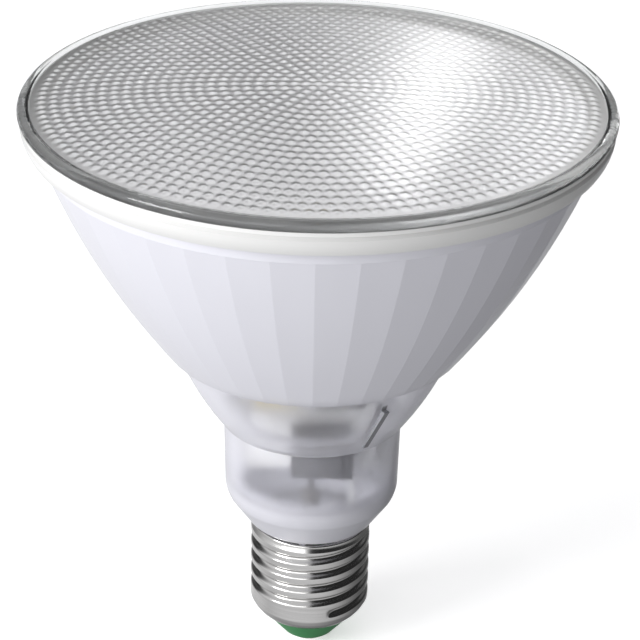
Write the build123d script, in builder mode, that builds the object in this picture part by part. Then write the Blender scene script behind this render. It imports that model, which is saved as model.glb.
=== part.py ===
"""PAR spotlight bulb: clear lens, white collar, translucent faceted body, driver in the neck, screw cap.

The lamp stands on its axis, +Z towards the lens, with the tip of the centre contact at the origin.
All sizes are in millimetres.
"""
import math
import os

from build123d import *

# Driving lengths, stacked up the axis from the contact's tip
contact_height = 1.5
insulator_height = 5.9
shell_taper = 3.2
thread_pitch = 3.629
thread_turns = 5
shell_rim_height = 1.5
cap_gap = 1.1
cone_height = 6.6
shoulder_height = 2.4
neck_height = 16.6
bowl_height = 18.9
cup_height = 43.4
rim_height = 4.55
flange_thickness = 1.0
collar_web = 1.5
seal_thickness = 0.8
lens_rise = 4.5

# Driving radii: thread, neck, and the two ends of the cup
thread_crest_radius = 13.15
neck_radius = 18.85
cup_bottom_radius = 32.2
cup_top_radius = 56.3

# Screw cap
contact_radius = 4.6
contact_edge = 0.9
rivet_radius = 2.6
insulator_tip_radius = 5.9
insulator_plug_height = 1.6
insulator_plug_gap = 0.25
thread_depth = 1.0
thread_lap = 0.3
thread_lip = 0.6
shell_sheet = 0.35
shell_taper_in = 1.35
shell_rim_in = 0.4
# Direction from the axis, in degrees, in which the thread's lowest section is shifted
thread_start_angle = 244.7

# Driver housing: neck, cone and the spigot that the shell is pressed on
cone_lip = 1.15
cone_lip_round = 0.8
shoulder_in = 0.65
shoulder_round = 0.2
neck_draft = 0.3
neck_wall = 1.95
floor_rise = 1.1
throat_rise = 2.1
spigot_length = 9.9
spigot_gap = 0.05
spigot_wall = 1.5
spigot_slots = 4
spigot_slot_drop = 1.5
spigot_tab_width = 1.3
spigot_tab_angle = -98.8
socket_wall = 1.2
socket_height = 3.2
fit_gap = 0.1

# Body: lower bowl with three gussets, then the faceted cup
bowl_step = 0.85
bowl_bulge = 0.92
bowl_wall = 1.8
ledge_width = 2.1
cup_bulge = 2.0
cup_wall = 2.2
facet_count = 42
facet_sections = 7
shelf_rise = 1.3
shelf_width = 3.3
gusset_angles = (-59.0, 61.0, 181.0)
gusset_thickness = 1.2
gusset_foot = 1.7
gusset_head = 4.9
gusset_reach_top = 1.3
gusset_reach_bottom = 0.4
gusset_root = 1.0

# Collar and lens
collar_skirt_gap = 0.2
collar_skirt_wall = 2.4
collar_drop = 1.6
collar_flare = 1.2
collar_bulge = 0.25
collar_web_reach = 2.0
bead_overhang = 0.4
bead_radius = 1.25
bead_land = 0.6
lens_edge_in = 1.1
lens_sagitta = 3.4
lens_thickness = 2.0

# Light source
spreader_thickness = 3.0
reflector_gap = 0.6
reflector_wall = 1.2
board_gap = 0.5
board_radius = 14.0
board_thickness = 1.6
substrate_radius = 8.2
substrate_thickness = 0.9
phosphor_radius = 6.8
phosphor_thickness = 0.6
screw_spacing = 22.0
screw_shank_radius = 1.2
screw_head_radius = 2.1
screw_head_height = 1.3
screw_length = 4.4

# Driver board and what is soldered to it: distances from its side edges, its foot or its top
pcb_edge_gap = 0.7
pcb_thickness = 1.6
pcb_face = 2.2
pcb_headroom = 7.9
rail_reach = 2.2
rail_thickness = 1.2
wire_radius = 0.6
lead_spacing = 8.0
lead_length_on_board = 8.0
core_size = (13.4, 6.0, 10.0)
core_from_edge = 14.0
core_foot = 2.1
coil_size = (8.0, 10.4, 6.0)
capacitor_radius = 4.4
capacitor_length = 11.0
capacitor_from_edge = 4.6
capacitor_below_top = 4.0
film_size = (9.0, 5.0, 8.0)
film_from_edge = 8.6
film_below_top = 4.6
inductor_radius = 4.2
inductor_waist = 2.6
inductor_height = 7.0
inductor_from_edge = 8.8
inductor_above_foot = 7.5
rectifier_size = (6.2, 2.6, 4.8)
rectifier_from_edge = 8.7
rectifier_above_foot = 5.5
chip_size = (5.0, 1.6, 4.0)
chip_below_top = 13.0
varistor_radius = 3.6
varistor_thickness = 2.6
varistor_from_edge = 7.0
varistor_below_top = 11.5
resistor_radius = 2.0
resistor_length = 10.0
resistor_rise = 5.0
neutral_bore_gap = 0.4
neutral_drop = 1.6
neutral_bend_radius = 1.2
neutral_shell_gap = 0.2

# Heights that follow from the stack
shell_bottom = contact_height + insulator_height
thread_bottom = shell_bottom + shell_taper
thread_height = thread_pitch * thread_turns
thread_top = thread_bottom + thread_height
shell_top = thread_top + shell_rim_height
housing_bottom = shell_top + cap_gap
cone_top = housing_bottom + cone_height
neck_bottom = cone_top + shoulder_height
neck_top = neck_bottom + neck_height
housing_floor = neck_bottom + floor_rise
housing_throat = housing_bottom + throat_rise
spigot_bottom = housing_bottom - spigot_length
slot_bottom = shell_top - spigot_slot_drop
cup_bottom = neck_top + bowl_height
cup_top = cup_bottom + cup_height
cup_rim = cup_top + rim_height
shelf_height = cup_bottom + shelf_rise
gusset_bottom = neck_top + gusset_foot
gusset_top = cup_bottom - gusset_head
collar_bottom = cup_rim - collar_drop
collar_web_bottom = cup_rim + flange_thickness
collar_top = collar_web_bottom + collar_web
seal_top = collar_top + seal_thickness
spreader_top = shelf_height + spreader_thickness
board_top = spreader_top + board_thickness
substrate_top = board_top + substrate_thickness
pcb_top = cup_bottom - pcb_headroom
lead_bottom = pcb_top - lead_length_on_board
resistor_bottom = spigot_bottom + resistor_rise
resistor_top = resistor_bottom + resistor_length
neutral_bend_height = spigot_bottom - neutral_drop

# Radii that follow
thread_mean_radius = thread_crest_radius - thread_depth / 2
thread_root_radius = thread_crest_radius - thread_depth
thread_bore = thread_root_radius - thread_lip
shell_bottom_radius = thread_root_radius - shell_taper_in
shell_rim_radius = thread_crest_radius - shell_rim_in
insulator_plug_radius = shell_bottom_radius - shell_sheet - insulator_plug_gap
cone_bottom_radius = thread_crest_radius + cone_lip
cone_top_radius = neck_radius - shoulder_in
neck_top_radius = neck_radius + neck_draft
housing_bore = neck_radius - neck_wall
spigot_radius = thread_bore - spigot_gap
spigot_bore = spigot_radius - spigot_wall
socket_radius = housing_bore + socket_wall
bowl_bottom_radius = neck_top_radius + bowl_step
bowl_top_radius = cup_bottom_radius - ledge_width
shelf_bore = bowl_top_radius - shelf_width
skirt_radius = cup_top_radius + collar_skirt_gap
collar_bottom_radius = skirt_radius + collar_skirt_wall
collar_top_radius = collar_bottom_radius + collar_flare
collar_inner_radius = cup_top_radius - collar_web_reach
bead_center_radius = collar_top_radius + bead_overhang - bead_radius
bead_land_drop = math.sqrt(bead_radius**2 - bead_land**2)
bead_center_height = seal_top + bead_land_drop
lens_edge_radius = bead_center_radius - lens_edge_in
lens_top = bead_center_height + lens_rise
reflector_opening = board_radius + board_gap
pcb_edge = housing_bore - pcb_edge_gap
pcb_back = pcb_face + pcb_thickness
pcb_middle = pcb_face + pcb_thickness / 2
wire_line = pcb_face - wire_radius
neutral_offset = spigot_bore - wire_radius - neutral_bore_gap
neutral_reach = thread_bore - neutral_shell_gap

# Places of the pieces on the board, as (offset across, height)
core_center = (pcb_edge - core_from_edge, housing_floor + core_foot + core_size[2] / 2)
capacitor_start = (pcb_edge - capacitor_from_edge - capacitor_length, pcb_top - capacitor_below_top)
film_center = (film_from_edge - pcb_edge, pcb_top - film_below_top)
inductor_center = (inductor_from_edge - pcb_edge, housing_floor + inductor_above_foot)
rectifier_center = (pcb_edge - rectifier_from_edge, housing_floor + rectifier_above_foot)
chip_center = (0.0, pcb_top - chip_below_top)
varistor_center = (pcb_edge - varistor_from_edge, pcb_top - varistor_below_top)


def arc_through(first, middle, last):
    """Return the centre (radius, height) and the radius of the circle through three profile points."""
    (ax, ay), (bx, by), (cx, cy) = first, middle, last
    scale = 2 * (ax * (by - cy) + bx * (cy - ay) + cx * (ay - by))
    a_square = ax * ax + ay * ay
    b_square = bx * bx + by * by
    c_square = cx * cx + cy * cy
    center_x = (a_square * (by - cy) + b_square * (cy - ay) + c_square * (ay - by)) / scale
    center_y = (a_square * (cx - bx) + b_square * (ax - cx) + c_square * (bx - ax)) / scale
    return (center_x, center_y), math.dist((center_x, center_y), first)


def profile_radius(arc, height, depth=0.0):
    """Return the profile's radius at a height, for a surface lying depth inside the outer arc."""
    (center_x, center_y), radius = arc
    return center_x + math.sqrt((radius - depth) ** 2 - (height - center_y) ** 2)


def profile_point(arc, height, depth=0.0):
    """Return the profile point (radius, height) on a surface lying depth inside the outer arc."""
    return (profile_radius(arc, height, depth), height)


def save(part, label):
    """Label one finished piece and write it to its own file."""
    part.label = label
    export_step(part, f"parts/{label}.step")


os.makedirs("parts", exist_ok=True)
cup_middle = ((cup_bottom_radius + cup_top_radius) / 2 + cup_bulge, (cup_bottom + cup_top) / 2)
cup_arc = arc_through((cup_bottom_radius, cup_bottom), cup_middle, (cup_top_radius, cup_top))
bowl_middle = ((bowl_bottom_radius + bowl_top_radius) / 2 + bowl_bulge, (neck_top + cup_bottom) / 2)
bowl_arc = arc_through((bowl_bottom_radius, neck_top), bowl_middle, (bowl_top_radius, cup_bottom))

# Centre contact: a domed button with a rivet up through the insulator
with BuildPart() as centre_contact:
    Cylinder(contact_radius, contact_height, align=(Align.CENTER, Align.CENTER, Align.MIN))
    fillet(centre_contact.edges().group_by(Axis.Z)[0], contact_edge)
    with Locations((0, 0, contact_height)):
        Cylinder(
            rivet_radius,
            shell_bottom - contact_height,
            align=(Align.CENTER, Align.CENTER, Align.MIN),
        )
save(centre_contact.part, "centre_contact")

# Base insulator: a cone below the shell with a plug inside its lower edge
with BuildPart() as base_insulator:
    with BuildSketch(Plane.XZ):
        with BuildLine():
            Polyline(
                (rivet_radius, contact_height),
                (insulator_tip_radius, contact_height),
                (shell_bottom_radius - shell_sheet / 2, shell_bottom),
                (insulator_plug_radius, shell_bottom),
                (insulator_plug_radius, shell_bottom + insulator_plug_height),
                (rivet_radius, shell_bottom + insulator_plug_height),
                close=True,
            )
        make_face()
    revolve(axis=Axis.Z)
save(base_insulator.part, "base_insulator")

# Screw shell: rolled sheet, a round section shifted sideways and carried up a helix to make the thread
with BuildPart() as screw_shell:
    with BuildLine() as thread_path:
        Helix(thread_pitch, thread_height, thread_depth / 2, center=(0, 0, thread_bottom))
    thread_center = thread_path.line @ 0
    with BuildSketch(Plane(origin=thread_center)):
        Circle(thread_mean_radius)
        Circle(thread_mean_radius - shell_sheet, mode=Mode.SUBTRACT)
    sweep(path=thread_path.line, normal=(0, 0, 1))
    with BuildSketch(Plane.XZ):
        with BuildLine():
            Polyline(
                (shell_bottom_radius, shell_bottom),
                (thread_root_radius + thread_lap, thread_bottom),
                (thread_root_radius + thread_lap, thread_bottom + thread_lap),
                (thread_bore, thread_bottom + thread_lap),
                (thread_bore, thread_bottom - thread_lap),
                (shell_bottom_radius - shell_sheet, shell_bottom),
                close=True,
            )
        make_face()
        with BuildLine():
            Polyline(
                (thread_bore, thread_top - thread_lap),
                (shell_rim_radius, thread_top - thread_lap),
                (shell_rim_radius, shell_top),
                (shell_rim_radius - 2 * shell_sheet, shell_top),
                (shell_rim_radius - 2 * shell_sheet, thread_top + thread_lap),
                (thread_bore, thread_top + thread_lap),
                close=True,
            )
        make_face()
    revolve(axis=Axis.Z)
turned_shell = Rotation(0, 0, thread_start_angle) * screw_shell.part
save(turned_shell, "screw_shell")

# Driver housing: spigot, cone, neck and the socket that the body sits on
with BuildPart() as driver_housing:
    with BuildSketch(Plane.XZ):
        with BuildLine():
            Polyline(
                (neck_radius, neck_bottom),
                (neck_top_radius, neck_top),
                (socket_radius, neck_top),
                (socket_radius, neck_top + socket_height),
                (housing_bore, neck_top + socket_height),
                (housing_bore, housing_floor),
                (spigot_bore, housing_throat),
                (spigot_bore, spigot_bottom),
                (spigot_radius, spigot_bottom),
                (spigot_radius, housing_bottom),
                (cone_bottom_radius - cone_lip_round, housing_bottom),
                (cone_bottom_radius, housing_bottom + cone_lip_round),
                (cone_top_radius, cone_top),
            )
            ThreePointArc(
                (cone_top_radius, cone_top),
                (neck_radius - shoulder_round, (cone_top + neck_bottom) / 2),
                (neck_radius, neck_bottom),
            )
        make_face()
    revolve(axis=Axis.Z)
    rail_center = pcb_edge - rail_reach / 2 + fit_gap
    rail_height = neck_top - housing_floor
    for side in (-1, 1):
        for face in (pcb_face - rail_thickness / 2, pcb_back + rail_thickness / 2):
            with Locations((side * rail_center, face, housing_floor)):
                Box(
                    rail_reach,
                    rail_thickness,
                    rail_height,
                    align=(Align.CENTER, Align.CENTER, Align.MIN),
                )
        with Locations((side * rail_center, pcb_middle, housing_floor)):
            Box(
                rail_reach,
                pcb_thickness + 2 * rail_thickness,
                rail_thickness,
                align=(Align.CENTER, Align.CENTER, Align.MAX),
            )
    # Slots above the shell leave the spigot hanging on tabs
    with BuildSketch(Plane.XY.offset(slot_bottom)):
        Circle(spigot_radius)
        Circle(spigot_bore, mode=Mode.SUBTRACT)
        with PolarLocations(spigot_radius, spigot_slots, start_angle=spigot_tab_angle):
            Rectangle(4 * spigot_wall, spigot_tab_width, mode=Mode.SUBTRACT)
    extrude(amount=housing_bottom - slot_bottom, mode=Mode.SUBTRACT)
save(driver_housing.part, "driver_housing")

# Reflector body: lower bowl, three gussets and the cup with flat facets
with BuildPart() as reflector_body:
    section_step = (cup_top - cup_bottom) / (facet_sections - 1)
    for section in range(facet_sections):
        height = cup_bottom + section * section_step
        with BuildSketch(Plane.XY.offset(height)):
            RegularPolygon(profile_radius(cup_arc, height), facet_count, rotation=-90)
    loft()
    with BuildSketch(Plane.XZ):
        with BuildLine():
            ThreePointArc((bowl_bottom_radius, neck_top), bowl_middle, (bowl_top_radius, cup_bottom))
            Polyline(
                (bowl_top_radius, cup_bottom),
                (0, cup_bottom),
                (0, neck_top),
                (bowl_bottom_radius, neck_top),
            )
        make_face()
    revolve(axis=Axis.Z)
    for angle in gusset_angles:
        radial = (math.cos(math.radians(angle)), math.sin(math.radians(angle)), 0)
        tangent = (radial[1], -radial[0], 0)
        with BuildSketch(Plane(origin=(0, 0, 0), x_dir=radial, z_dir=tangent)):
            top_radius = profile_radius(bowl_arc, gusset_top)
            bottom_radius = profile_radius(bowl_arc, gusset_bottom)
            with BuildLine():
                Polyline(
                    (top_radius - gusset_root, gusset_top),
                    (top_radius + gusset_reach_top, gusset_top),
                    (bottom_radius + gusset_reach_bottom, gusset_bottom),
                    (bottom_radius - gusset_root, gusset_bottom),
                    close=True,
                )
            make_face()
        extrude(amount=gusset_thickness / 2, both=True)
    with Locations((0, 0, cup_top)):
        Cylinder(cup_top_radius, cup_rim - cup_top, align=(Align.CENTER, Align.CENTER, Align.MIN))
    spreader_seat = profile_radius(cup_arc, shelf_height, cup_wall)
    with BuildSketch(Plane.XZ):
        with BuildLine():
            inner_bottom = (socket_radius + fit_gap, neck_top)
            inner_start = profile_point(bowl_arc, neck_top + socket_height, bowl_wall)
            inner_end = profile_point(bowl_arc, cup_bottom - bowl_wall, bowl_wall)
            inner_middle = profile_point(bowl_arc, (inner_start[1] + inner_end[1]) / 2, bowl_wall)
            ThreePointArc(inner_start, inner_middle, inner_end)
            Polyline(inner_end, (shelf_bore, cup_bottom), (shelf_bore, shelf_height))
            Polyline((shelf_bore, shelf_height), (spreader_seat, shelf_height))
            cavity_bottom = (spreader_seat, shelf_height)
            cavity_top = profile_point(cup_arc, cup_rim, cup_wall)
            cavity_middle = profile_point(cup_arc, (shelf_height + cup_rim) / 2, cup_wall)
            ThreePointArc(cavity_bottom, cavity_middle, cavity_top)
            Polyline(cavity_top, (0, cup_rim), (0, neck_top), inner_bottom)
            Polyline(inner_bottom, (socket_radius + fit_gap, inner_start[1]), inner_start)
        make_face()
    revolve(axis=Axis.Z, mode=Mode.SUBTRACT)
save(reflector_body.part, "reflector_body")

# Heat spreader: a disc on the body's shelf, with holes for the screws and the two leads
spreader_radius = spreader_seat - fit_gap
with BuildPart() as heat_spreader:
    with Locations((0, 0, shelf_height)):
        Cylinder(spreader_radius, spreader_thickness, align=(Align.CENTER, Align.CENTER, Align.MIN))
    with Locations((0, 0, spreader_top)):
        with GridLocations(screw_spacing, 0, 2, 1):
            Hole(screw_shank_radius)
    with Locations((0, pcb_back + wire_radius, spreader_top)):
        with GridLocations(lead_spacing, 0, 2, 1):
            Hole(2 * wire_radius)
save(heat_spreader.part, "heat_spreader")

# Inner reflector: a thin bright cup with a flange clamped between the body's rim and the collar
reflector_depth = cup_wall + reflector_gap
with BuildPart() as inner_reflector:
    with BuildSketch(Plane.XZ):
        with BuildLine():
            outer_bottom = profile_point(cup_arc, spreader_top, reflector_depth)
            outer_top = profile_point(cup_arc, cup_rim, reflector_depth)
            middle_height = (spreader_top + cup_rim) / 2
            ThreePointArc(outer_bottom, profile_point(cup_arc, middle_height, reflector_depth), outer_top)
            flange_radius = cup_top_radius - fit_gap
            inside_depth = reflector_depth + reflector_wall
            floor_top = spreader_top + reflector_wall
            inside_top = profile_point(cup_arc, collar_web_bottom, inside_depth)
            inside_bottom = profile_point(cup_arc, floor_top, inside_depth)
            Polyline(
                outer_top,
                (flange_radius, cup_rim),
                (flange_radius, collar_web_bottom),
                inside_top,
            )
            ThreePointArc(inside_top, profile_point(cup_arc, middle_height, inside_depth), inside_bottom)
            Polyline(
                inside_bottom,
                (reflector_opening, floor_top),
                (reflector_opening, spreader_top),
                outer_bottom,
            )
        make_face()
    revolve(axis=Axis.Z)
save(inner_reflector.part, "inner_reflector")

# Light-emitting board, its carrier plate and the phosphor disc
with BuildPart() as led_board:
    with Locations((0, 0, spreader_top)):
        Cylinder(board_radius, board_thickness, align=(Align.CENTER, Align.CENTER, Align.MIN))
    with Locations((0, 0, board_top)):
        with GridLocations(screw_spacing, 0, 2, 1):
            Hole(screw_shank_radius)
    with Locations((0, pcb_back + wire_radius, board_top)):
        with GridLocations(lead_spacing, 0, 2, 1):
            Hole(wire_radius + fit_gap)
save(led_board.part, "led_board")

with BuildPart() as led_substrate:
    with BuildSketch(Plane.XY.offset(board_top)):
        Circle(substrate_radius)
        with Locations((0, pcb_back + wire_radius)):
            with GridLocations(lead_spacing, 0, 2, 1):
                Circle(3 * wire_radius, mode=Mode.SUBTRACT)
    extrude(amount=substrate_thickness)
save(led_substrate.part, "led_substrate")

with BuildPart() as led_phosphor:
    with BuildSketch(Plane.XY.offset(substrate_top)):
        Circle(phosphor_radius)
        with Locations((0, pcb_back + wire_radius)):
            with GridLocations(lead_spacing, 0, 2, 1):
                Circle(4 * wire_radius, mode=Mode.SUBTRACT)
    extrude(amount=phosphor_thickness)
save(led_phosphor.part, "led_phosphor")

# Two pan-head screws hold the board down on the spreader
for number, side in enumerate((-1, 1), start=1):
    with BuildPart() as board_screw:
        with Locations((side * screw_spacing / 2, 0, board_top)):
            Cylinder(
                screw_head_radius,
                screw_head_height,
                align=(Align.CENTER, Align.CENTER, Align.MIN),
            )
            fillet(board_screw.edges().group_by(Axis.Z)[-1], screw_head_height / 3)
            Cylinder(
                screw_shank_radius,
                screw_length,
                align=(Align.CENTER, Align.CENTER, Align.MAX),
            )
    save(board_screw.part, f"board_screw_{number}")

# Collar: a skirt around the body's rim with a web that clamps the reflector and carries the lens
with BuildPart() as retaining_collar:
    with BuildSketch(Plane.XZ):
        with BuildLine():
            collar_shoulder = (collar_top_radius, collar_top - collar_web / 2)
            middle_radius = (collar_bottom_radius + collar_top_radius) / 2 + collar_bulge
            ThreePointArc(
                (collar_bottom_radius, collar_bottom),
                (middle_radius, (collar_bottom + collar_shoulder[1]) / 2),
                collar_shoulder,
            )
            Polyline(
                collar_shoulder,
                (collar_top_radius - collar_web / 2, collar_top),
                (collar_inner_radius, collar_top),
                (collar_inner_radius, collar_web_bottom),
                (skirt_radius, collar_web_bottom),
                (skirt_radius, collar_bottom),
                (collar_bottom_radius, collar_bottom),
            )
        make_face()
    revolve(axis=Axis.Z)
save(retaining_collar.part, "retaining_collar")

# Lens seal: a flat ring between the collar and the lens's bead
with BuildPart() as lens_seal:
    with BuildSketch(Plane.XY.offset(collar_top)):
        Circle(bead_center_radius + bead_land)
        Circle(bead_center_radius - bead_land, mode=Mode.SUBTRACT)
    extrude(amount=seal_thickness)
save(lens_seal.part, "lens_seal")

# Front lens: a gently domed disc with a thick round bead at its edge
with BuildPart() as front_lens:
    lens_edge_height = lens_top - lens_sagitta
    dome_radius = (lens_edge_radius**2 + lens_sagitta**2) / (2 * lens_sagitta)
    half_chord = lens_edge_radius / 2
    dome_half = (half_chord, lens_top - dome_radius + math.sqrt(dome_radius**2 - half_chord**2))
    with BuildSketch(Plane.XZ):
        with BuildLine():
            ThreePointArc((0, lens_top), dome_half, (lens_edge_radius, lens_edge_height))
            Polyline(
                (lens_edge_radius, lens_edge_height),
                (bead_center_radius, lens_edge_height),
                (bead_center_radius, lens_edge_height - lens_thickness),
                (lens_edge_radius, lens_edge_height - lens_thickness),
            )
            ThreePointArc(
                (lens_edge_radius, lens_edge_height - lens_thickness),
                (half_chord, dome_half[1] - lens_thickness),
                (0, lens_top - lens_thickness),
            )
            Line((0, lens_top - lens_thickness), (0, lens_top))
        make_face()
        with Locations((bead_center_radius, bead_center_height)):
            Circle(bead_radius)
            with Locations((0, -bead_land_drop)):
                Rectangle(
                    4 * bead_radius,
                    2 * bead_radius,
                    align=(Align.CENTER, Align.MAX),
                    mode=Mode.SUBTRACT,
                )
    revolve(axis=Axis.Z)
save(front_lens.part, "front_lens")

# Driver board standing between the housing's rails
with BuildPart() as driver_board:
    with Locations((0, pcb_face, housing_floor)):
        Box(
            2 * pcb_edge,
            pcb_thickness,
            pcb_top - housing_floor,
            align=(Align.CENTER, Align.MIN, Align.MIN),
        )
save(driver_board.part, "driver_board")

# Transformer: a ferrite core around a taped coil
with BuildPart() as transformer_coil:
    with Locations((core_center[0], pcb_face, core_center[1])):
        Box(*coil_size, align=(Align.CENTER, Align.MAX, Align.CENTER))
        fillet(transformer_coil.edges().filter_by(Axis.Z), coil_size[2] / 6)
save(transformer_coil.part, "transformer_coil")

with BuildPart() as transformer_core:
    with Locations((core_center[0], pcb_face - coil_size[1] / 2, core_center[1])):
        Box(*core_size)
    add(transformer_coil.part, mode=Mode.SUBTRACT)
save(transformer_core.part, "transformer_core")

# Electrolytic capacitor lying across the top of the board
with BuildPart() as electrolytic_capacitor:
    can_plane = Plane(
        origin=(capacitor_start[0], pcb_face - capacitor_radius, capacitor_start[1]),
        x_dir=(0, 1, 0),
        z_dir=(1, 0, 0),
    )
    with BuildSketch(can_plane):
        Circle(capacitor_radius)
    extrude(amount=capacitor_length)
    fillet(electrolytic_capacitor.edges().group_by(Axis.X)[0], capacitor_radius / 6)
    fillet(electrolytic_capacitor.edges().group_by(Axis.X)[-1], capacitor_radius / 6)
save(electrolytic_capacitor.part, "electrolytic_capacitor")

# Boxed film capacitor beside it
with BuildPart() as film_capacitor:
    with Locations((film_center[0], pcb_face, film_center[1])):
        Box(*film_size, align=(Align.CENTER, Align.MAX, Align.CENTER))
        fillet(film_capacitor.edges().group_by(Axis.Y)[0], film_size[1] / 10)
save(film_capacitor.part, "film_capacitor")

# Pieces on the back of the board: drum inductor, rectifier, controller and varistor
with BuildPart() as drum_inductor:
    drum_plane = Plane(
        origin=(inductor_center[0], pcb_back, inductor_center[1]),
        x_dir=(1, 0, 0),
        z_dir=(0, 1, 0),
    )
    with BuildSketch(drum_plane):
        Circle(inductor_radius)
    extrude(amount=inductor_height)
    with BuildSketch(drum_plane.offset(inductor_height / 4)):
        Circle(inductor_radius)
        Circle(inductor_waist, mode=Mode.SUBTRACT)
    extrude(amount=inductor_height / 2, mode=Mode.SUBTRACT)
save(drum_inductor.part, "drum_inductor")

with BuildPart() as bridge_rectifier:
    with Locations((rectifier_center[0], pcb_back, rectifier_center[1])):
        Box(*rectifier_size, align=(Align.CENTER, Align.MIN, Align.CENTER))
        chamfer(bridge_rectifier.edges().group_by(Axis.Y)[-1], rectifier_size[1] / 6)
save(bridge_rectifier.part, "bridge_rectifier")

with BuildPart() as controller_chip:
    with Locations((chip_center[0], pcb_back, chip_center[1])):
        Box(*chip_size, align=(Align.CENTER, Align.MIN, Align.CENTER))
        chamfer(controller_chip.edges().group_by(Axis.Y)[-1], chip_size[1] / 6)
save(controller_chip.part, "controller_chip")

with BuildPart() as varistor:
    varistor_plane = Plane(
        origin=(varistor_center[0], pcb_back, varistor_center[1]),
        x_dir=(1, 0, 0),
        z_dir=(0, 1, 0),
    )
    with BuildSketch(varistor_plane):
        Circle(varistor_radius)
    extrude(amount=varistor_thickness)
    fillet(varistor.edges().group_by(Axis.Y)[-1], varistor_thickness / 4)
save(varistor.part, "varistor")

# Two leads from the back of the board up through the spreader to the light source
for label, side in (("led_lead_positive", 1), ("led_lead_negative", -1)):
    with BuildPart() as led_lead:
        with Locations((side * lead_spacing / 2, pcb_back + wire_radius, board_top + wire_radius)):
            Cylinder(
                wire_radius,
                board_top + wire_radius - lead_bottom,
                align=(Align.CENTER, Align.CENTER, Align.MAX),
            )
    save(led_lead.part, label)

# Line lead from the contact's rivet up to the fusible resistor, and on to the board
with BuildPart() as line_lead_lower:
    with Locations((0, wire_line, shell_bottom)):
        Cylinder(
            wire_radius,
            resistor_bottom - shell_bottom,
            align=(Align.CENTER, Align.CENTER, Align.MIN),
        )
save(line_lead_lower.part, "line_lead_lower")

with BuildPart() as fusible_resistor:
    with Locations((0, wire_line, resistor_bottom)):
        Cylinder(resistor_radius, resistor_length, align=(Align.CENTER, Align.CENTER, Align.MIN))
    fillet(fusible_resistor.edges().filter_by(GeomType.CIRCLE), resistor_radius / 3)
save(fusible_resistor.part, "fusible_resistor")

with BuildPart() as line_lead_upper:
    with Locations((0, wire_line, resistor_top)):
        Cylinder(
            wire_radius,
            core_center[1] - core_size[2] / 2 - resistor_top,
            align=(Align.CENTER, Align.CENTER, Align.MIN),
        )
save(line_lead_upper.part, "line_lead_upper")

# Neutral lead from the board down the spigot's bore, then out to the shell
with BuildPart() as neutral_lead:
    with BuildLine() as neutral_path:
        FilletPolyline(
            (neutral_offset, wire_line, housing_floor + rail_thickness),
            (neutral_offset, wire_line, neutral_bend_height),
            (neutral_reach, wire_line, neutral_bend_height),
            radius=neutral_bend_radius,
        )
    with BuildSketch(Plane(origin=neutral_path.line @ 0, z_dir=neutral_path.line % 0)):
        Circle(wire_radius)
    sweep(path=neutral_path.line)
save(neutral_lead.part, "neutral_lead")
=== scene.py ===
"""Studio scene of a reflector spotlight bulb: stippled clear lens, translucent body and screw cap.

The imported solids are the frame. The lens, with its stippled face and its clear bead, and the threaded shell
of the cap are built here in full. Every other solid keeps its shape and gets a procedural finish.
"""
from __future__ import annotations

import logging
import math
from dataclasses import dataclass, field
from enum import Enum

import bmesh
import bpy
from mathutils import Matrix, Vector

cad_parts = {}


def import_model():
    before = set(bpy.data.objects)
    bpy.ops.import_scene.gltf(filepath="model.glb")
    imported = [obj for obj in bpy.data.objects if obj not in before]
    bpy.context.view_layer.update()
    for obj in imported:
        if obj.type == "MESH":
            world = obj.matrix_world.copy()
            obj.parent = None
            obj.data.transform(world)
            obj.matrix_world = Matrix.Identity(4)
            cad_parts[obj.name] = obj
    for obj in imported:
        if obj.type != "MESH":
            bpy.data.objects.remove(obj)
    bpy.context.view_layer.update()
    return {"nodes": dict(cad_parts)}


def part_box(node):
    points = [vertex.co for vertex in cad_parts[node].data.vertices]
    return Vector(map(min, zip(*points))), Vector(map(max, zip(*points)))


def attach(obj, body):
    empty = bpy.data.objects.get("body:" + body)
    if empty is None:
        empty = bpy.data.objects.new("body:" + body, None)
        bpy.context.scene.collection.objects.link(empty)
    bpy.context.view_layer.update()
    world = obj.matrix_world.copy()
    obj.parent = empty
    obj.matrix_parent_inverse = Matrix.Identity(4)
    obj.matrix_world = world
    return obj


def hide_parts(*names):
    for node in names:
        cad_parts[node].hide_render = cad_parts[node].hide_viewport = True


LOG = logging.getLogger("spotlight")
MM = 0.001
BODY = "root"
Color = tuple[float, float, float]
Triple = tuple[float, float, float]
Span = tuple[float, float]


class Num:
    """A number socket of a shader tree that can be used in Python expressions."""

    def __init__(self, board: Board, socket: bpy.types.NodeSocket) -> None:
        """Keep the board that the socket's tree belongs to."""
        self.board = board
        self.socket = socket

    def _math(self, operation: str, *values: Num | float) -> Num:
        """Add one Math node.

        Args:
            operation: The Math node's operation.
            values: Its operands, in order.

        Returns:
            The node's result.
        """
        node = self.board.node("ShaderNodeMath", {"operation": operation}, dict(enumerate(values)))
        return Num(self.board, node.outputs[0])

    def __add__(self, other: Num | float) -> Num:
        """Return self + other."""
        return self._math("ADD", self, other)

    def __radd__(self, other: float) -> Num:
        """Return other + self."""
        return self._math("ADD", other, self)

    def __sub__(self, other: Num | float) -> Num:
        """Return self - other."""
        return self._math("SUBTRACT", self, other)

    def __rsub__(self, other: float) -> Num:
        """Return other - self."""
        return self._math("SUBTRACT", other, self)

    def __mul__(self, other: Num | float) -> Num:
        """Return self * other."""
        return self._math("MULTIPLY", self, other)

    def __rmul__(self, other: float) -> Num:
        """Return other * self."""
        return self._math("MULTIPLY", other, self)

    def __truediv__(self, other: Num | float) -> Num:
        """Return self / other."""
        return self._math("DIVIDE", self, other)

    def step(self, low: float, high: float) -> Num:
        """Return a smooth step from 0 at low to 1 at high."""
        settings = {"interpolation_type": "SMOOTHSTEP", "clamp": True}
        inputs = {"Value": self, "From Min": low, "From Max": high}
        return Num(self.board, self.board.node("ShaderNodeMapRange", settings, inputs).outputs[0])


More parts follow.
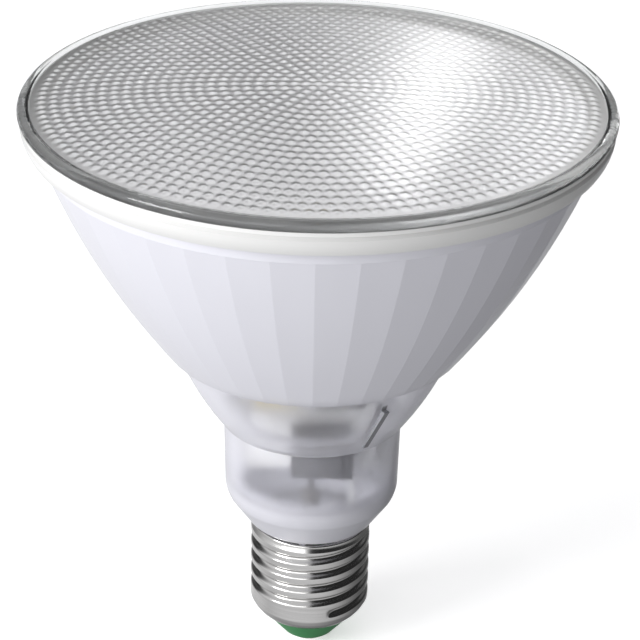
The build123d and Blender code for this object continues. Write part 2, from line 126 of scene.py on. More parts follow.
class Board:
    """The node tree of a material or of the sky, with a single way to add a node."""

    def __init__(self, owner: bpy.types.Material | bpy.types.World) -> None:
        """Start with an empty tree."""
        owner.use_nodes = True
        self.owner = owner
        self.tree = owner.node_tree
        self.tree.nodes.clear()

    @classmethod
    def material(cls, name: str) -> Board:
        """Return the board of a new material."""
        return cls(bpy.data.materials.new(name))

    def node(self, kind: str, settings: dict | None = None, inputs: dict | None = None) -> bpy.types.Node:
        """Add a node.

        Args:
            kind: The node's type.
            settings: Properties that are set before the inputs.
            inputs: Values or links by socket name or index.

        Returns:
            The new node.
        """
        node = self.tree.nodes.new(kind)
        for name, value in (settings or {}).items():
            setattr(node, name, value)
        for key, value in (inputs or {}).items():
            target = node.inputs[key]
            if isinstance(value, Num):
                self.tree.links.new(value.socket, target)
            elif isinstance(value, bpy.types.NodeSocket):
                self.tree.links.new(value, target)
            else:
                target.default_value = value
        return node

    def place(self, stretch: Triple = (1.0, 1.0, 1.0)) -> bpy.types.NodeSocket:
        """Return Object coordinates, stretched by one factor for each axis."""
        coordinates = self.node("ShaderNodeTexCoord").outputs["Object"]
        mapping = self.node("ShaderNodeMapping", None, {"Vector": coordinates, "Scale": stretch})
        return mapping.outputs["Vector"]

    def height(self) -> Num:
        """Return the height along the lamp's axis, in millimetres."""
        split = self.node("ShaderNodeSeparateXYZ", None, {0: self.place()})
        return Num(self, split.outputs["Z"]) / MM

    def noise(self, vector: bpy.types.NodeSocket, scale: float, detail: float = 3.0) -> Num:
        """Return a noise value between 0 and 1.

        Args:
            vector: The coordinates to read.
            scale: Waves for each metre.
            detail: Octaves.

        Returns:
            The noise.
        """
        inputs = {"Vector": vector, "Scale": scale, "Detail": detail}
        return Num(self, self.node("ShaderNodeTexNoise", None, inputs).outputs[0])

    def blend(self, factor: Num, low: Color, high: Color) -> bpy.types.NodeSocket:
        """Return a colour between two colours."""
        inputs = {"Factor": factor, 6: (*low, 1.0), 7: (*high, 1.0)}
        return self.node("ShaderNodeMix", {"data_type": "RGBA"}, inputs).outputs[2]

    def bump(self, height: Num, strength: float, distance: float) -> bpy.types.NodeSocket:
        """Return a normal that is bent by a height in units of distance."""
        inputs = {"Height": height, "Strength": strength, "Distance": distance}
        return self.node("ShaderNodeBump", None, inputs).outputs["Normal"]

    def toward(self, vector: bpy.types.NodeSocket, aim: Triple) -> Num:
        """Return how far a vector reaches along an aim."""
        settings = {"operation": "DOT_PRODUCT"}
        inputs = {0: vector, 1: Vector(aim).normalized()}
        return Num(self, self.node("ShaderNodeVectorMath", settings, inputs).outputs["Value"])

    def finish(self, shader: bpy.types.NodeSocket) -> bpy.types.Material:
        """Link the shader to the output and return the material."""
        self.node("ShaderNodeOutputMaterial", None, {"Surface": shader})
        return self.owner


class Grain(Enum):
    """The way a finish's fine texture runs, as a stretch along each axis."""

    EVEN = (1.0, 1.0, 1.0)
    AROUND = (0.02, 0.02, 1.0)
    ALONG = (1.0, 1.0, 0.25)


@dataclass(frozen=True)
class Finish:
    """A solid finish with mottled colour, uneven gloss and a fine grain."""

    name: str
    color: Color
    roughness: float = 0.4
    metallic: float = 0.0
    coat: float = 0.0
    mottle: float = 0.06
    mottle_scale: float = 60.0
    grain: Grain = Grain.EVEN
    grain_scale: float = 1500.0
    grain_depth: float = 0.01 * MM
    grain_detail: float = 4.0
    grain_strength: float = 0.5
    gloss_spread: float = 0.06
    alpha: float = 1.0

    def shade(self, tone: float) -> Color:
        """Return the finish's colour made lighter or darker."""
        return tuple(min(1.0, max(0.0, part * tone)) for part in self.color)

    def build(self) -> bpy.types.Material:
        """Return the material."""
        board = Board.material(self.name)
        patches = board.noise(board.place(self.grain.value), self.mottle_scale)
        grain = board.noise(board.place(self.grain.value), self.grain_scale, self.grain_detail)
        inputs = {
            "Base Color": board.blend(patches, self.shade(1 - self.mottle), self.shade(1 + self.mottle)),
            "Roughness": grain * self.gloss_spread + (self.roughness - self.gloss_spread / 2),
            "Metallic": self.metallic,
            "Coat Weight": self.coat,
            "Alpha": self.alpha,
            "Normal": board.bump(grain, self.grain_strength, self.grain_depth),
        }
        return board.finish(board.node("ShaderNodeBsdfPrincipled", None, inputs).outputs[0])


@dataclass(frozen=True)
class MilkyPlastic:
    """Translucent moulded plastic: a milky skin mixed with a frosted clear part that changes with height.

    The clear part gives way to the skin where the wall is seen edge-on, because more plastic lies there.
    Along the ribs the skin takes a painted dark shade and the clear part mostly shuts. Heights and the ribs'
    sizes are in millimetres.
    """

    name: str
    color: Color
    turn_height: float
    fade: float
    clear_below: float
    clear_above: float
    frost: float
    ior: float
    roughness: float = 0.3
    coat: float = 0.3
    haze: float = 0.06
    clear_color: Color = (0.98, 0.98, 1.0)
    glow_color: Color = (0.96, 0.96, 1.0)
    flow_scale: float = 140.0
    flow_gloss: float = 0.08
    flow_clear: float = 0.06
    skin_scale: float = 900.0
    skin_detail: float = 2.0
    skin_strength: float = 0.3
    skin_depth: float = 0.01 * MM
    edge_turn: Span = (0.35, 0.8)
    edge_milk: float = 0.8
    rib_angles: tuple[float, ...] = ()
    rib_span: Span = (0.0, 0.0)
    rib_half: float = 0.52
    rib_blur: float = 0.2
    rib_end_blur: float = 0.5
    rib_shade_cover: float = 0.85
    # Painted shade: a dark colour laid along the ribs in place of the shadow lines beside them.
    painted_rib_shade: Color = (0.20, 0.20, 0.22)

    def ribs(self, board: Board) -> Num:
        """Return 1 on the thin ribs of the wall and 0 elsewhere.

        Args:
            board: The material's board.

        Returns:
            The mask of the dark shade painted along the ribs.
        """
        place = board.place()
        height = board.height()
        low, high = self.rib_span
        above_low = height.step(low - self.rib_end_blur, low + self.rib_end_blur)
        above_high = height.step(high - self.rib_end_blur, high + self.rib_end_blur)
        side = (self.rib_half**2, (self.rib_half + self.rib_blur) ** 2)
        stripes = []
        for angle in self.rib_angles:
            turn = math.radians(angle)
            across = board.toward(place, (-math.sin(turn), math.cos(turn), 0.0)) / MM
            outward = board.toward(place, (math.cos(turn), math.sin(turn), 0.0)) / MM
            stripes.append((1 - (across * across).step(*side)) * outward.step(0.0, 1.0))
        return sum(stripes) * above_low * (1 - above_high)

    def skin(self, board: Board, flow: Num, ribs: Num | None) -> bpy.types.NodeSocket:
        """Return the shader of the milky skin.

        Args:
            board: The material's board.
            flow: The streaks of the moulding's flow.
            ribs: The mask of the shade painted along the ribs, where there are ribs.

        Returns:
            The shader.
        """
        fine = board.noise(board.place(), self.skin_scale, self.skin_detail)
        inputs = {
            "Base Color": (*self.color, 1.0),
            "Roughness": flow * self.flow_gloss + (self.roughness - self.flow_gloss / 2),
            "Coat Weight": self.coat,
            "Normal": board.bump(fine, self.skin_strength, self.skin_depth),
        }
        if ribs is not None:
            # Paint the dark rib shade into the skin's colour along the ribs.
            inputs["Base Color"] = board.blend(ribs, self.color, self.painted_rib_shade)
        return board.node("ShaderNodeBsdfPrincipled", None, inputs).outputs[0]

    def frosted(self, board: Board) -> bpy.types.NodeSocket:
        """Return the shader of the clear part, frosted and a little hazy."""
        inputs = {
            "Base Color": (*self.clear_color, 1.0),
            "Roughness": self.frost,
            "IOR": self.ior,
            "Transmission Weight": 1.0,
        }
        clear = board.node("ShaderNodeBsdfPrincipled", None, inputs).outputs[0]
        glow = board.node("ShaderNodeBsdfTranslucent", None, {"Color": (*self.glow_color, 1.0)}).outputs[0]
        return board.node("ShaderNodeMixShader", None, {0: self.haze, 1: clear, 2: glow}).outputs[0]

    def build(self) -> bpy.types.Material:
        """Return the material."""
        board = Board.material(self.name)
        rise = board.height().step(self.turn_height - self.fade, self.turn_height + self.fade)
        flow = board.noise(board.place(Grain.ALONG.value), self.flow_scale)
        facing = Num(board, board.node("ShaderNodeLayerWeight", None, {"Blend": 0.5}).outputs["Facing"])
        ribs = self.ribs(board) if self.rib_angles else None
        clear = rise * (self.clear_above - self.clear_below) + self.clear_below
        clear = clear + (flow - 0.5) * self.flow_clear
        clear = clear * (1 - facing.step(*self.edge_turn) * self.edge_milk)
        if ribs is not None:
            # Shut the clear part on the ribs so that their painted shade shows.
            clear = clear * (1 - ribs * self.rib_shade_cover)
        parts = {0: clear, 1: self.skin(board, flow, ribs), 2: self.frosted(board)}
        return board.finish(board.node("ShaderNodeMixShader", None, parts).outputs[0])


@dataclass(frozen=True)
class ThickGlass:
    """Solid clear glass that bends what is behind it."""

    name: str
    color: Color = (0.81, 0.82, 0.82)
    roughness: float = 0.03
    ior: float = 1.5
    ripple_scale: float = 220.0
    ripple_detail: float = 2.0
    ripple_strength: float = 0.4
    ripple_depth: float = 0.3 * MM

    def build(self) -> bpy.types.Material:
        """Return the material."""
        board = Board.material(self.name)
        ripple = board.noise(board.place(), self.ripple_scale, self.ripple_detail)
        inputs = {
            "Base Color": (*self.color, 1.0),
            "Roughness": self.roughness,
            "IOR": self.ior,
            "Transmission Weight": 1.0,
            "Normal": board.bump(ripple, self.ripple_strength, self.ripple_depth),
        }
        return board.finish(board.node("ShaderNodeBsdfPrincipled", None, inputs).outputs[0])


@dataclass(frozen=True)
class StippledGlass:
    """Pressed glass over a bright reflector: a silvery sheen mixed with a blurred view of the inside."""

    name: str
    color: Color = (0.80, 0.80, 0.80)
    roughness: float = 0.18
    metallic: float = 0.92
    clear: float = 0.5
    blur: float = 0.28
    ior: float = 1.12
    grain_scale: float = 700.0
    grain_tone: float = 0.95
    gloss_spread: float = 0.06

    def build(self) -> bpy.types.Material:
        """Return the material."""
        board = Board.material(self.name)
        grain = board.noise(board.place(), self.grain_scale)
        dull = tuple(part * self.grain_tone for part in self.color)
        sheen_inputs = {
            "Base Color": board.blend(grain, dull, self.color),
            "Roughness": grain * self.gloss_spread + (self.roughness - self.gloss_spread / 2),
            "Metallic": self.metallic,
        }
        sheen = board.node("ShaderNodeBsdfPrincipled", None, sheen_inputs).outputs[0]
        view_inputs = {
            "Base Color": (1.0, 1.0, 1.0, 1.0),
            "Roughness": self.blur,
            "IOR": self.ior,
            "Transmission Weight": 1.0,
        }
        view = board.node("ShaderNodeBsdfPrincipled", None, view_inputs).outputs[0]
        mixed = board.node("ShaderNodeMixShader", None, {0: self.clear, 1: sheen, 2: view})
        return board.finish(mixed.outputs[0])


def new_piece(name: str, mesh: bmesh.types.BMesh, *materials: bpy.types.Material) -> bpy.types.Object:
    """Turn a bmesh into a finished, smooth-shaded object that rides on the lamp.

    Args:
        name: The piece's name.
        mesh: Its geometry, in the lamp's frame, in metres. It is freed.
        materials: Its finishes, in the order of its faces' indices.

    Returns:
        The object.
    """
    bmesh.ops.recalc_face_normals(mesh, faces=mesh.faces)
    data = bpy.data.meshes.new(name)
    mesh.to_mesh(data)
    mesh.free()
    data.shade_smooth()
    for material in materials:
        data.materials.append(material)
    piece = bpy.data.objects.new(name, data)
    bpy.context.scene.collection.objects.link(piece)
    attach(piece, BODY)
    LOG.info("%s: %d faces", name, len(data.polygons))
    return piece


def spin_profile(
    mesh: bmesh.types.BMesh,
    points: list[tuple[float, float]],
    steps: int,
    closed: bool = True,
    angle: float = math.tau,
) -> None:
    """Spin an outline about the lamp's axis.

    Args:
        mesh: The bmesh that takes the result.
        points: The outline as (radius, height), in metres.
        steps: Segments around.
        closed: Whether the outline's last point joins its first.
        angle: How far round it goes.
    """
    verts = [mesh.verts.new((radius, 0.0, height)) for radius, height in points]
    pairs = list(zip(verts, verts[1:]))
    if closed:
        pairs.append((verts[-1], verts[0]))
    edges = [mesh.edges.new(pair) for pair in pairs]
    bmesh.ops.spin(
        mesh,
        geom=verts + edges,
        cent=(0.0, 0.0, 0.0),
        axis=(0.0, 0.0, 1.0),
        angle=angle,
        steps=steps,
        use_merge=angle == math.tau,
    )


@dataclass
class FrontLens:
    """The clear lens: a face of low round cells in rings, a plain margin and a round bead."""

    bead_radius: float = 1.25 * MM
    bead_land: float = 0.6 * MM
    edge_in: float = 1.1 * MM
    sagitta: float = 3.4 * MM
    thickness: float = 2.0 * MM
    ring_pitch: float = 2.42 * MM
    ring_count: int = 23
    ring_cells: int = 6
    cell_rise: float = 0.28 * MM
    cell_reach: float = 1.19 * MM
    zone_rings: tuple[float, ...] = (0.0, 7.4, 14.6, 25.0)
    zone_steps: tuple[int, ...] = (48, 96, 160)
    samples_per_ring: int = 6
    arc_steps: int = 14
    spin_steps: int = 192
    merge_distance: float = 0.001 * MM
    top: float = field(init=False)
    widest: float = field(init=False)
    land_height: float = field(init=False)

    def __post_init__(self) -> None:
        """Read the lens's place from its solid and its seal."""
        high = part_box("front_lens")[1]
        self.top = high.z
        self.widest = high.x
        self.land_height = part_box("lens_seal")[1].z

    @property
    def bead_center(self) -> tuple[float, float]:
        """The bead's section centre as (radius, height)."""
        drop = math.sqrt(self.bead_radius**2 - self.bead_land**2)
        return self.widest - self.bead_radius, self.land_height + drop

    @property
    def edge(self) -> float:
        """The radius at which the dome runs into the bead."""
        return self.bead_center[0] - self.edge_in

    def dome(self, radius: float) -> float:
        """Return the height of the dome's outer face at a radius."""
        curve = (self.edge**2 + self.sagitta**2) / (2 * self.sagitta)
        return self.top - curve + math.sqrt(curve**2 - radius**2)

    def cell_drop(self, radius: float, angle: float) -> float:
        """Return how far the face lies below the tops of its cells.

        Args:
            radius: Distance from the axis.
            angle: Direction around the axis, in radians.

        Returns:
            The drop, which is nothing in the middle of a cell.
        """
        nearest = math.inf
        home = round(radius / self.ring_pitch)
        for ring in range(max(home - 1, 0), min(home + 1, self.ring_count) + 1):
            ring_radius = ring * self.ring_pitch
            turn = math.tau / max(1, ring * self.ring_cells)
            offset = (angle + turn / 2) % turn - turn / 2
            across = 4 * radius * ring_radius * math.sin(offset / 2) ** 2
            nearest = min(nearest, (radius - ring_radius) ** 2 + across)
        swell = max(0.0, 1 - nearest / self.cell_reach**2) ** 2
        return self.cell_rise * (1 - swell)

    def join_zones(self, mesh: bmesh.types.BMesh, loops: list[tuple[float, float]]) -> None:
        """Bridge the open arcs between one zone and the next.

        Args:
            mesh: The sector.
            loops: The radii of the arcs on the two sides of each joint.
        """
        for joint in loops:
            arcs = []
            for edge in (edge for edge in mesh.edges if edge.is_boundary):
                for radius in joint:
                    if all(abs(vert.co.xy.length - radius) < self.merge_distance for vert in edge.verts):
                        arcs.append(edge)
            bmesh.ops.bridge_loops(mesh, edges=arcs)

    def close_back(self, mesh: bmesh.types.BMesh) -> None:
        """Draw the outermost loop down and close it with a flat back in the second finish."""
        rim = [edge for edge in mesh.edges if edge.is_boundary]
        wall = bmesh.ops.extrude_edge_only(mesh, edges=rim)["geom"]
        for vert in (item for item in wall if isinstance(item, bmesh.types.BMVert)):
            vert.co.z = self.dome(self.edge) - self.thickness
        back = [edge for edge in mesh.edges if edge.is_boundary]
        for face in bmesh.ops.edgenet_fill(mesh, edges=back)["faces"]:
            face.material_index = 1

    def build_face(self, cells: bpy.types.Material, back: bpy.types.Material) -> bpy.types.Object:
        """Return the face of cells: one sector in zones that get finer outwards, set six times around.

        Args:
            cells: The finish of the cells.
            back: The finish of the flat back.

        Returns:
            The piece.
        """
        mesh = bmesh.new()
        sector = math.tau / self.ring_cells
        inner_end = 0.0
        joints = []
        for zone, steps in enumerate(self.zone_steps):
            first = self.zone_rings[zone] * self.ring_pitch
            last = min(self.zone_rings[zone + 1] * self.ring_pitch, self.edge)
            samples = round((last - first) / self.ring_pitch * self.samples_per_ring)
            rise = (last - first) / samples
            if last < self.edge:
                samples -= 1
            radii = [first + rise * index for index in range(samples + 1)]
            spin_profile(mesh, [(radius, 0.0) for radius in radii], steps, False, sector)
            if zone:
                joints.append((inner_end, first))
            inner_end = radii[-1]
        self.join_zones(mesh, joints)
        bmesh.ops.spin(
            mesh,
            geom=[*mesh.verts, *mesh.edges, *mesh.faces],
            axis=(0.0, 0.0, 1.0),
            angle=math.tau - sector,
            steps=self.ring_cells - 1,
            use_duplicate=True,
        )
        bmesh.ops.remove_doubles(mesh, verts=mesh.verts, dist=self.merge_distance)
        for vert in mesh.verts:
            radius = vert.co.xy.length
            angle = math.atan2(vert.co.y, vert.co.x)
            vert.co.z = self.dome(radius) - self.cell_drop(radius, angle)
        self.close_back(mesh)
        return new_piece("lens_face", mesh, cells, back)

    def build_bead(self, material: bpy.types.Material) -> bpy.types.Object:
        """Return the bead with the flat step inside it and the land underneath."""
        mesh = bmesh.new()
        center_radius, center_height = self.bead_center
        step_height = self.dome(self.edge)
        reach = math.sqrt(self.bead_radius**2 - (step_height - center_height) ** 2)
        start = math.atan2(step_height - center_height, -reach)
        finish = math.asin(self.bead_land / self.bead_radius) - math.pi / 2
        points = [(self.edge, step_height)]
        for index in range(2 * self.arc_steps + 1):
            angle = start + (finish - start) * index / (2 * self.arc_steps)
            across = self.bead_radius * math.cos(angle)
            points.append((center_radius + across, center_height + self.bead_radius * math.sin(angle)))
        points.append((self.edge, self.land_height + self.bead_land / 2))
        spin_profile(mesh, points, self.spin_steps)
        return new_piece("lens_bead", mesh, material)

    def build(self) -> None:
        """Build the lens's pieces and let them stand for its solid."""
        cells = StippledGlass("stippled_face")
        back = Finish("lens_back", (0.9, 0.9, 0.9), roughness=0.1, alpha=0.04)
        face = self.build_face(cells.build(), back.build())
        face.visible_shadow = False
        bead = self.build_bead(ThickGlass("bead_glass").build())
        for piece in (face, bead):
            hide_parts("front_lens")


@dataclass
class ScrewShell:
    """The nickel cap: a brushed shell with a narrow round groove wound up it."""

    bottom_radius: float = 10.8 * MM
    shoulder_radius: float = 12.9 * MM
    crest_radius: float = 13.15 * MM
    rim_radius: float = 12.75 * MM
    sheet: float = 0.35 * MM
    taper: float = 3.2 * MM
    rim_height: float = 1.5 * MM
    pitch: float = 3.629 * MM
    turns: float = 4.6
    groove_depth: float = 1.05 * MM
    groove_width: float = 2.6 * MM
    groove_low: float = 12.45 * MM
    groove_start: float = math.radians(-72.0)
    run_out: float = math.radians(9.0)
    run_in: float = math.radians(70.0)
    shoulder_shares: tuple[float, ...] = (0.35, 0.65, 0.85)
    rim_step: float = 0.25
    samples: int = 118
    spin_steps: int = 180
    bottom: float = field(init=False)
    top: float = field(init=False)

    def __post_init__(self) -> None:
        """Read the shell's height from its solid."""
        low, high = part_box("screw_shell")
        self.bottom = low.z
        self.top = high.z

    def groove(self, angle: float, height: float) -> float:
        """Return the groove's depth at a point of the shell.

        Args:
            angle: Direction around the axis, in radians.
            height: Height above the contact's tip.

        Returns:
            The depth, in metres.
        """
        around = (angle - self.groove_start) % math.tau
        turn = round((height - self.groove_low) / self.pitch - around / math.tau)
        travel = around + turn * math.tau
        length = self.turns * math.tau
        center = self.groove_low + travel / math.tau * self.pitch
        across = abs(height - center) / (self.groove_width / 2)
        start = min(1.0, max(0.0, travel / self.run_out))
        end = min(1.0, max(0.0, (length - travel) / self.run_in))
        shape = math.cos(min(across, 1.0) * math.pi / 2) ** 2
        return self.groove_depth * shape * math.sqrt(start) * end

    def profile(self) -> list[tuple[float, float]]:
        """Return the outline, up the outside and down the inside, as (radius, height)."""
        thread_low = self.bottom + self.taper
        thread_high = self.top - self.rim_height
        outside = [(self.bottom_radius, self.bottom)]
        for share in self.shoulder_shares:
            bow = math.sin(share * math.pi / 2)
            reach = self.shoulder_radius - self.bottom_radius
            outside.append((self.bottom_radius + reach * bow, self.bottom + self.taper * share))
        for index in range(self.samples + 1):
            rise = (thread_high - thread_low) * index / self.samples
            outside.append((self.crest_radius, thread_low + rise))
        outside.append((self.rim_radius, thread_high + self.rim_height * self.rim_step))
        outside.append((self.rim_radius, self.top - self.sheet))
        outside.append((self.rim_radius - self.sheet / 2, self.top))
        inside = [
            (self.rim_radius - 2 * self.sheet, self.top),
            (self.bottom_radius - self.sheet, self.bottom),
        ]
        return outside + inside

    def build(self) -> None:
        """Spin the shell, press the groove into it and let it stand for its solid."""
        mesh = bmesh.new()
        spin_profile(mesh, self.profile(), self.spin_steps)
        limit = self.crest_radius - self.sheet
        for vert in mesh.verts:
            radius = vert.co.xy.length
            if radius > limit:
                depth = self.groove(math.atan2(vert.co.y, vert.co.x), vert.co.z)
                vert.co.xy *= (radius - depth) / radius
        nickel = Finish(
            "brushed_nickel",
            (0.60, 0.595, 0.585),
            roughness=0.17,
            metallic=1.0,
            mottle=0.14,
            mottle_scale=2200.0,
            grain=Grain.AROUND,
            grain_scale=9000.0,
            grain_depth=0.0005 * MM,
            gloss_spread=0.10,
        )
        shell = new_piece("cap_shell", mesh, nickel.build())
        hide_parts("screw_shell")


@dataclass
class Wardrobe:
    """The finishes of the solids that keep their own shape. Heights are in millimetres."""

    nodes: dict[str, bpy.types.Object]
    light_passers: tuple[str, ...] = ("driver_housing",)
    body_turn: float = 1.5
    housing_turn: float = 1.4
    gusset_angles: tuple[float, ...] = (-59.0, 61.0, 181.0)
    gusset_foot: float = 1.7
    gusset_head: float = 4.9
    finishes: dict[str, Finish | MilkyPlastic] = field(init=False)

    def __post_init__(self) -> None:
        """Choose a finish for each solid."""
        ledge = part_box("heat_spreader")[0].z / MM
        neck_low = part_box("driver_board")[0].z / MM
        bowl_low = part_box("reflector_body")[0].z / MM
        screw = Finish("zinc_screw", (0.70, 0.70, 0.68), roughness=0.3, metallic=1.0)
        ferrite = Finish("ferrite", (0.035, 0.035, 0.04), roughness=0.55)
        moulding = Finish("chip_moulding", (0.03, 0.03, 0.03), roughness=0.5)
        black_wire = Finish("black_wire", (0.03, 0.03, 0.03), roughness=0.45)
        self.finishes = {
            "retaining_collar": Finish(
                "white_collar",
                (0.79, 0.79, 0.78),
                roughness=0.3,
                coat=0.3,
                mottle=0.015,
            ),
            "lens_seal": Finish("white_silicone", (0.84, 0.84, 0.83), roughness=0.5, mottle=0.02),
            "reflector_body": MilkyPlastic(
                "milky_body",
                (0.76, 0.76, 0.82),
                turn_height=ledge - self.body_turn,
                fade=3.5,
                clear_below=0.94,
                clear_above=0.04,
                frost=0.30,
                ior=1.09,
                # The gussets carry the painted rib shade.
                rib_angles=self.gusset_angles,
                rib_span=(bowl_low + self.gusset_foot, ledge - self.gusset_head),
            ),
            "driver_housing": MilkyPlastic(
                "milky_housing",
                (0.64, 0.64, 0.69),
                turn_height=neck_low + self.housing_turn,
                fade=2.4,
                clear_below=0.05,
                clear_above=0.87,
                frost=0.34,
                ior=1.10,
            ),
            "inner_reflector": Finish("metallised_cup", (0.85, 0.85, 0.86), roughness=0.42, metallic=0.6),
            "heat_spreader": Finish("stamped_aluminium", (0.72, 0.72, 0.73), roughness=0.35, metallic=1.0),
            "led_board": Finish("white_mask", (0.80, 0.80, 0.78), roughness=0.4),
            "led_substrate": Finish("alumina", (0.82, 0.81, 0.78), roughness=0.5),
            "led_phosphor": Finish("phosphor", (0.85, 0.62, 0.12), roughness=0.3),
            "board_screw_1": screw,
            "board_screw_2": screw,
            "driver_board": Finish("pale_laminate", (0.92, 0.92, 0.91), roughness=0.5),
            "transformer_core": ferrite,
            "transformer_coil": Finish("coil_tape", (0.05, 0.05, 0.055), roughness=0.35),
            "electrolytic_capacitor": Finish("capacitor_sleeve", (0.02, 0.02, 0.025), roughness=0.3),
            "film_capacitor": Finish("film_box", (0.70, 0.55, 0.12), roughness=0.3),
            "drum_inductor": ferrite,
            "bridge_rectifier": moulding,
            "controller_chip": moulding,
            "varistor": Finish("varistor_coating", (0.06, 0.12, 0.35), roughness=0.35),
            "fusible_resistor": Finish("resistor_coating", (0.16, 0.15, 0.14), roughness=0.5),
            "led_lead_positive": Finish("red_wire", (0.55, 0.05, 0.04), roughness=0.45),
            "led_lead_negative": black_wire,
            "line_lead_lower": black_wire,
            "line_lead_upper": black_wire,
            "neutral_lead": Finish("white_wire", (0.72, 0.72, 0.70), roughness=0.45),
            "base_insulator": Finish("green_insulator", (0.02, 0.23, 0.06), roughness=0.42),
            "centre_contact": Finish("tinned_contact", (0.72, 0.71, 0.68), roughness=0.3, metallic=1.0),
        }

    def dress(self) -> None:
        """Put each finish on its solid."""
        built: dict[str, bpy.types.Material] = {}
        for name, finish in self.finishes.items():
            if finish.name not in built:
                built[finish.name] = finish.build()
            self.nodes[name].visible_shadow = name not in self.light_passers
            slots = self.nodes[name].data.materials
            slots.clear()
            slots.append(built[finish.name])
            LOG.info("%s: %s", name, finish.name)


@dataclass(frozen=True)
class Lamp:
    """One soft studio light."""

    name: str
    place: Triple
    aim: Triple
    size: Span
    power: float
    mirrored: bool = True

    def build(self) -> None:
        """Add the light to the scene."""
        data = bpy.data.lights.new(self.name, "AREA")
        data.shape = "RECTANGLE"
        data.size, data.size_y = self.size
        data.energy = self.power
        lamp = bpy.data.objects.new(self.name, data)
        lamp.location = self.place
        lamp.visible_glossy = self.mirrored
        direction = Vector(self.aim) - Vector(self.place)
        lamp.rotation_euler = direction.to_track_quat("-Z", "Y").to_euler()
        bpy.context.scene.collection.objects.link(lamp)


@dataclass(frozen=True)
class Glow:
    """A soft patch of light in the sky, from nothing at the spread's start to its level at the end."""

    aim: Triple
    spread: Span
    level: float = 1.0

    def build(self, board: Board, direction: bpy.types.NodeSocket) -> Num:
        """Return the patch's light in a direction."""
        return board.toward(direction, self.aim).step(*self.spread) * self.level


LENS_MIDDLE = (0.0, 0.0, 0.12)
FRONT_LEFT = (-0.42, -0.91, 0.0)


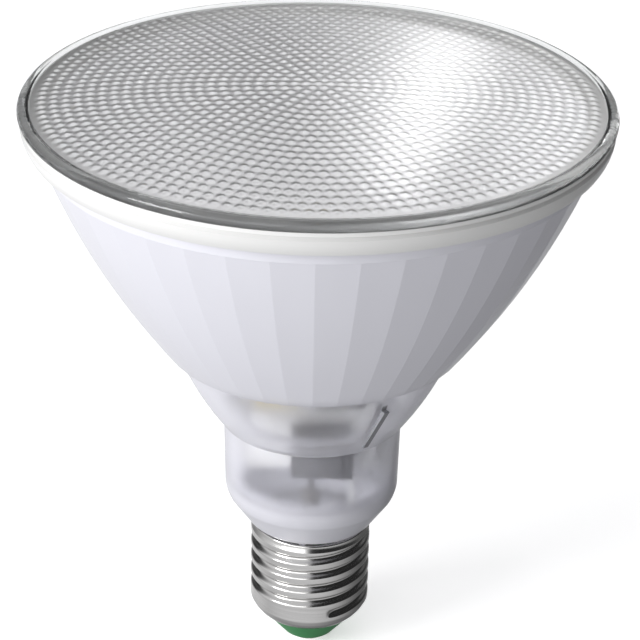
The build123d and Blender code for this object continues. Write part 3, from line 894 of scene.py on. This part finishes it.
@dataclass
class Studio:
    """The pale floor, the soft lights and the camera."""

    floor_size: float = 6.0
    floor_squares: int = 8
    floor_color: Color = (0.93, 0.93, 0.93)
    floor_pale: Color = (0.95, 0.95, 0.95)
    floor_patches: float = 3.0
    floor_roughness: float = 0.8
    floor_glow: float = 0.5
    key: Glow = Glow(FRONT_LEFT, (-0.8, 1.0), 0.72)
    fill: Glow = Glow((-0.55, 0.83, 0.0), (0.3, 1.0), 0.6)
    rear: Glow = Glow((0.0, 1.0, 0.0), (0.6, 1.0), 0.5)
    front: Glow = Glow(FRONT_LEFT, (-0.1, 0.3), 0.8)
    left: Glow = Glow((-1.0, 0.0, 0.0), (-0.03, 0.10))
    back: Glow = Glow((0.05, 0.93, 0.36), (0.5, 0.95))
    overhead: Triple = (0.0, 0.0, 1.0)
    horizon: Span = (-0.08, 0.06)
    fill_top: Span = (-0.55, -0.2)
    back_rise: Span = (0.30, 0.8)
    back_gain: float = 1.6
    back_base: float = 0.12
    low_base: float = 0.13
    high_base: float = 0.03
    sky_tint: Color = (0.985, 0.985, 1.0)
    backdrop: float = 0.97
    lamps: tuple[Lamp, ...] = (
        Lamp("key", (-0.70, -0.42, 0.40), LENS_MIDDLE, (0.36, 0.36), 4.2),
        Lamp("front_left", (-0.45, -0.78, 0.34), LENS_MIDDLE, (0.70, 0.55), 2.1),
        Lamp("back_right", (0.25, 0.90, 0.50), LENS_MIDDLE, (0.40, 0.25), 0.8, False),
    )
    image_side: float = 640.0
    sensor: float = 36.0
    focal_pixels: float = 2289.1
    camera_back: float = 430.84 * MM
    camera_height: float = 300.64 * MM
    pitch: float = math.radians(27.231)
    yaw: float = math.radians(0.161)
    roll: float = math.radians(1.154)

    def build_floor(self) -> None:
        """Lay the floor under the lamp's tip. It takes shadows and throws no light back up."""
        mesh = bmesh.new()
        squares = self.floor_squares
        bmesh.ops.create_grid(mesh, x_segments=squares, y_segments=squares, size=self.floor_size / 2)
        data = bpy.data.meshes.new("floor")
        mesh.to_mesh(data)
        mesh.free()
        board = Board.material("pale_floor")
        patches = board.noise(board.place(), self.floor_patches)
        inputs = {
            "Base Color": board.blend(patches, self.floor_color, self.floor_pale),
            "Roughness": self.floor_roughness,
            "Emission Color": (1.0, 1.0, 1.0, 1.0),
            "Emission Strength": self.floor_glow,
        }
        shader = board.node("ShaderNodeBsdfPrincipled", None, inputs).outputs[0]
        data.materials.append(board.finish(shader))
        floor = bpy.data.objects.new("floor", data)
        floor.visible_diffuse = False
        floor.visible_glossy = False
        bpy.context.scene.collection.objects.link(floor)

    def build_sky(self) -> None:
        """Surround the lamp with soft light, strong from the front left, behind a plain pale backdrop."""
        world = bpy.data.worlds.new("studio_sky")
        bpy.context.scene.world = world
        board = Board(world)
        direction = board.node("ShaderNodeTexCoord").outputs["Generated"]
        above = board.toward(direction, self.overhead)
        upper = above.step(*self.horizon)
        low_fill = self.fill.build(board, direction) * (1 - above.step(*self.fill_top))
        low_sides = self.key.build(board, direction) + self.rear.build(board, direction)
        low_light = low_sides + low_fill + self.low_base
        back_level = above.step(*self.back_rise) * self.back_gain + self.back_base
        high_back = self.back.build(board, direction) * back_level
        high_front = self.left.build(board, direction) * self.front.build(board, direction)
        high_light = high_front + high_back + self.high_base
        light = low_light * (1 - upper) + high_light * upper
        seen = Num(board, board.node("ShaderNodeLightPath").outputs["Is Camera Ray"])
        inputs = {"Color": (*self.sky_tint, 1.0), "Strength": light * (1 - seen) + seen * self.backdrop}
        shader = board.node("ShaderNodeBackground", None, inputs).outputs[0]
        board.node("ShaderNodeOutputWorld", None, {"Surface": shader})

    def build_lights(self) -> None:
        """Add the soft boxes."""
        for lamp in self.lamps:
            lamp.build()

    def build_camera(self) -> None:
        """Set the camera where the photograph was taken from."""
        data = bpy.data.cameras.new("photo_view")
        data.sensor_width = self.sensor
        data.lens = self.focal_pixels / self.image_side * self.sensor
        camera = bpy.data.objects.new("photo_view", data)
        level = math.cos(self.pitch)
        forward = Vector((math.sin(self.yaw) * level, math.cos(self.yaw) * level, -math.sin(self.pitch)))
        right = Vector((math.cos(self.yaw), -math.sin(self.yaw), 0.0))
        up = right.cross(forward)
        across = right * math.cos(self.roll) + up * math.sin(self.roll)
        upward = up * math.cos(self.roll) - right * math.sin(self.roll)
        turn = Matrix((across, upward, -forward)).transposed().to_4x4()
        place = Matrix.Translation((0.0, -self.camera_back, self.camera_height))
        camera.matrix_world = place @ turn
        bpy.context.scene.collection.objects.link(camera)
        bpy.context.scene.camera = camera

    def build(self) -> None:
        """Build the studio."""
        self.build_floor()
        self.build_sky()
        self.build_lights()
        self.build_camera()
        bpy.context.scene.view_settings.view_transform = "Standard"


def main() -> None:
    """Build the lamp and its studio."""
    logging.basicConfig(level=logging.INFO, format="%(asctime)s %(name)s %(message)s")
    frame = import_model()
    Studio().build()
    FrontLens().build()
    ScrewShell().build()
    Wardrobe(frame["nodes"]).dress()


if __name__ == "__main__":
    main()
